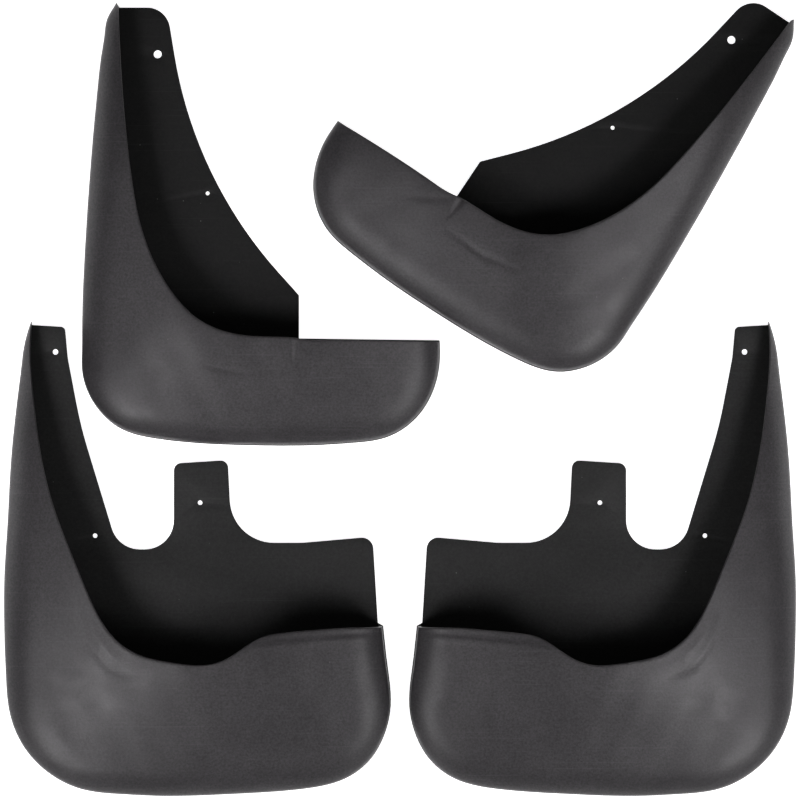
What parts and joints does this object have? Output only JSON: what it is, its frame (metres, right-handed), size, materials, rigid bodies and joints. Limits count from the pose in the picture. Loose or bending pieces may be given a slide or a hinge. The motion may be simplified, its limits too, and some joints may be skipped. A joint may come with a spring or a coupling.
{
  "type": "moulded splash guard set",
  "caption": "Moulded mud flaps for a car's front and rear wheels: crowned shells on flat screw-on plates, with a pocket for the wing edge, laid out flat.",
  "frame": {"origin": "middle of the set's footprint, on the plane that the plates' backs lie in", "axes": "+X across the set to the right, +Y up the guards towards their tips, +Z out of the plates, from the backs towards the shells' faces"},
  "size_m": [0.5538, 0.5547, 0.0477],
  "materials": {
    "shell": "satin moulded black plastic with a very fine grain",
    "plate": "dead matte moulded black plastic, finely grained"
  },
  "bodies": {
    "rear_left": {"rear_left_shell": "shell", "rear_left_plate": "plate"},
    "rear_right": {"rear_right_shell": "shell", "rear_right_plate": "plate"},
    "front_left": {"front_left_shell": "shell", "front_left_plate": "plate"},
    "front_right": {"front_right_shell": "shell", "front_right_plate": "plate"}
  },
  "joints": [
    {"name": "rear_right_lift", "type": "slide", "parent": "rear_left", "child": "rear_right", "axis": [0, 0, 1], "range_m": [0, 0.12]},
    {"name": "front_left_lift", "type": "slide", "parent": "rear_left", "child": "front_left", "axis": [0, 0, 1], "range_m": [0, 0.12]},
    {"name": "front_right_lift", "type": "slide", "parent": "rear_left", "child": "front_right", "axis": [0, 0, 1], "range_m": [0, 0.12]}
  ]
}
